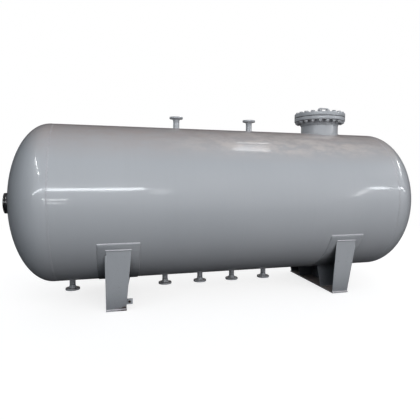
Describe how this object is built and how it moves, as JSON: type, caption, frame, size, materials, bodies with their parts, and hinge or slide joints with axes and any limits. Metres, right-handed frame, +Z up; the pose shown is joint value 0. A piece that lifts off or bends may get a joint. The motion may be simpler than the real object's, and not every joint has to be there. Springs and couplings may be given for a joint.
{
  "type": "horizontal pressure tank",
  "caption": "Horizontal cylindrical pressure vessel with domed ends, flanged nozzles, a bolted manway and welded saddles.",
  "frame": {"origin": "on the floor, under the centre of the whole vessel box", "axes": "+X along the vessel from the gauge end to the manway end, +Z up, the earthing lug on the -Y side"},
  "size_m": [5.102, 1.8239, 2.4182],
  "materials": {
    "grey_paint": "gloss",
    "black_paint": "gloss",
    "gasket": "matt"
  },
  "bodies": {
    "root": {"bottom_nozzle_1_flange": "grey_paint", "bottom_nozzle_1_pipe": "grey_paint", "bottom_nozzle_2_flange": "grey_paint", "bottom_nozzle_2_pipe": "grey_paint", "bottom_nozzle_3_flange": "grey_paint", "bottom_nozzle_3_pipe": "grey_paint", "bottom_nozzle_4_flange": "grey_paint", "bottom_nozzle_4_pipe": "grey_paint", "bottom_nozzle_5_flange": "grey_paint", "bottom_nozzle_5_pipe": "grey_paint", "earthing_lug": "grey_paint", "gauge_cover": "black_paint", "gauge_flange": "black_paint", "gauge_pipe": "grey_paint", "head_left": "grey_paint", "head_right": "grey_paint", "left_saddle_base_plate": "grey_paint", "left_saddle_end_rib_back": "grey_paint", "left_saddle_end_rib_front": "grey_paint", "left_saddle_inner_rib_back": "grey_paint", "left_saddle_inner_rib_front": "grey_paint", "left_saddle_wear_plate": "grey_paint", "left_saddle_web": "grey_paint", "manway_cover": "grey_paint", "manway_flange": "grey_paint", "manway_gasket": "gasket", "manway_handle": "grey_paint", "manway_neck": "grey_paint", "right_saddle_base_plate": "grey_paint", "right_saddle_end_rib_back": "grey_paint", "right_saddle_end_rib_front": "grey_paint", "right_saddle_inner_rib_back": "grey_paint", "right_saddle_inner_rib_front": "grey_paint", "right_saddle_wear_plate": "grey_paint", "right_saddle_web": "grey_paint", "shell_left": "grey_paint", "shell_right": "grey_paint", "top_nozzle_1_flange": "grey_paint", "top_nozzle_1_pipe": "grey_paint", "top_nozzle_2_flange": "grey_paint", "top_nozzle_2_pipe": "grey_paint"}
  },
  "joints": []
}
